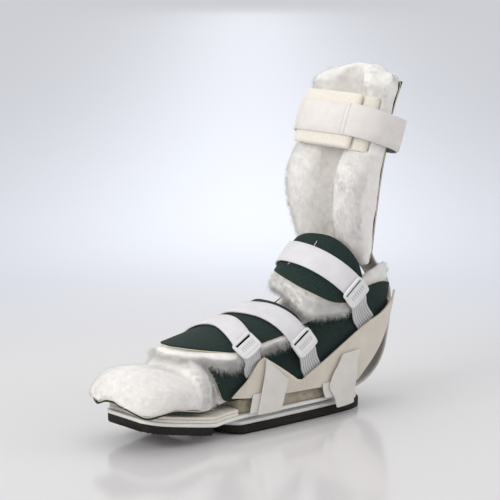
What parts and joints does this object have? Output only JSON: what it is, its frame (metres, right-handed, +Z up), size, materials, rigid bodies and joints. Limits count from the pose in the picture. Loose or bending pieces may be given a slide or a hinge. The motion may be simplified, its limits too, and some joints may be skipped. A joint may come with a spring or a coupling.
{
  "type": "ankle foot orthosis",
  "caption": "Padded ankle foot orthosis: a fleece-lined boot and calf trough with buckled straps on a walking sole, holding the foot at a right angle with the heel free of pressure.",
  "frame": {"origin": "on the flat underside of the rear walking sole, midway across it, below the arch of the foot", "axes": "+Z up along the leg, -Y towards the toe, +X towards the side that carries the buckles"},
  "size_m": [0.1239, 0.3565, 0.351],
  "materials": {
    "knit": "dark green knitted face, matte",
    "fleece": "white synthetic sheepskin pile",
    "vinyl": "cream coated cloth, satin",
    "strap": "smooth white strap cloth",
    "elastic": "white ribbed elastic webbing",
    "felt": "cream felt",
    "buckle": "moulded white",
    "rubber": "dark ribbed sole rubber",
    "plate": "white sheet plastic",
    "bar": "warm grey sheet plastic",
    "foam": "olive closed-cell foam"
  },
  "bodies": {
    "root": {"rear_tread": "rubber", "base_plate": "plate", "sole_pad": "foam", "foot_plate": "plate", "front_tread": "rubber", "toe_strip_lower": "felt", "toe_strip_upper": "felt", "footbed": "foam", "heel_bar": "bar", "boot_cover": "knit", "boot_fleece": "fleece", "dorsal_fleece": "fleece", "dorsal_cover": "knit", "sole_cover": "knit", "sole_fleece": "fleece", "panel_near": "vinyl", "panel_far": "vinyl", "heel_band": "strap", "tab_front_near": "strap", "tab_front_near_inner": "strap", "tab_front_far": "strap", "tab_front_far_inner": "strap", "tab_rear_near": "strap", "tab_rear_near_inner": "strap", "tab_rear_far": "strap", "tab_rear_far_inner": "strap", "ankle_cover": "knit", "ankle_fleece": "fleece", "calf_cover": "knit", "calf_fleece": "fleece", "calf_strap": "strap", "calf_strap_tail": "strap", "calf_pad_outer": "felt", "calf_pad_inner": "felt", "strap_forefoot": "strap", "elastic_forefoot": "elastic", "buckle_forefoot": "buckle", "strap_instep": "strap", "elastic_instep": "elastic", "buckle_instep": "buckle", "strap_ankle": "strap", "elastic_ankle": "elastic", "buckle_ankle": "buckle"}
  },
  "joints": []
}
